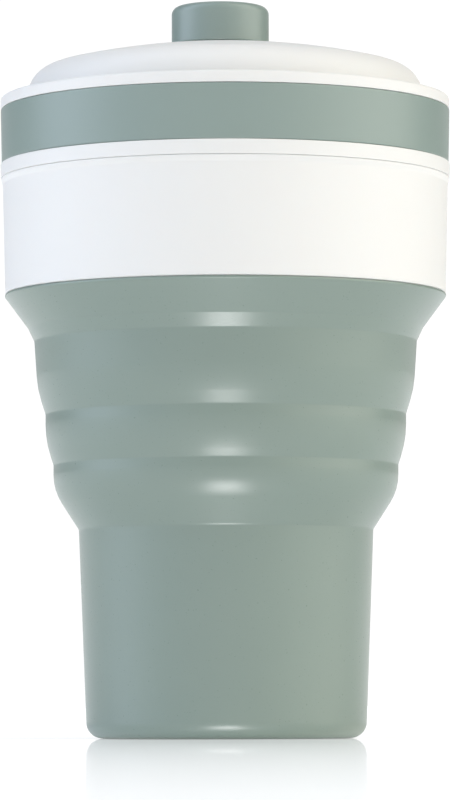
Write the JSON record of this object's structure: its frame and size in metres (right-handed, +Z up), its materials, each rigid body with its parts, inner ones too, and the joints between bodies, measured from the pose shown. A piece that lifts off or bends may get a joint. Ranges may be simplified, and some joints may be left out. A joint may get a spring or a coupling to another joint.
{
  "type": "portable mini washer",
  "caption": "Free-standing collapsible silicone wash cup with a stepped bellows body, white collar and press-on lid with a grip band and a turning knob that drives an agitator.",
  "frame": {"origin": "centre of the foot, on the surface that the cup stands on", "axes": "+Z up along the cup's axis; the view side is -Y; the shaft stands 0.9 mm towards -X"},
  "size_m": [0.088, 0.088, 0.1434],
  "materials": {
    "sage_silicone": "matt moulded silicone, grey-green",
    "white_polypropylene": "satin moulded polypropylene, white",
    "natural_polypropylene": "milky unpigmented polypropylene",
    "clear_silicone": "translucent soft silicone",
    "black_rubber": "matt nitrile rubber",
    "acetal": "smooth turned acetal, off-white",
    "stainless_steel": "bright turned stainless steel"
  },
  "bodies": {
    "base": {"cup_base": "sage_silicone", "cup_bellows": "sage_silicone"},
    "collar": {"collar": "white_polypropylene", "clamp_ring": "natural_polypropylene", "cup_rim": "sage_silicone"},
    "lid": {"lid_shell": "white_polypropylene", "grip_band": "sage_silicone", "lid_gasket": "clear_silicone", "shaft_bush": "acetal", "shaft_seal": "black_rubber", "seal_retainer": "acetal", "thrust_washer": "acetal"},
    "agitator": {"knob_cover": "sage_silicone", "knob_core": "natural_polypropylene", "knob_screw": "stainless_steel", "agitator_shaft": "stainless_steel", "retaining_clip": "stainless_steel", "agitator_hub": "natural_polypropylene", "agitator_paddle_1": "clear_silicone", "agitator_paddle_2": "clear_silicone", "agitator_paddle_3": "clear_silicone", "agitator_paddle_4": "clear_silicone", "hub_cap": "natural_polypropylene", "hub_screw": "stainless_steel"}
  },
  "joints": [
    {"name": "bellows_collapse", "type": "slide", "parent": "base", "child": "collar", "axis": [0, 0, -1], "range_m": [0, 0.06], "deforming": ["cup_bellows"]},
    {"name": "lid_lift", "type": "slide", "parent": "collar", "child": "lid", "axis": [0, 0, 1], "range_m": [0, 0.1]},
    {"name": "agitator_turn", "type": "hinge", "parent": "lid", "child": "agitator", "pos_m": [-0.0009, 0, 0.135], "axis": [0, 0, 1], "continuous": true}
  ]
}
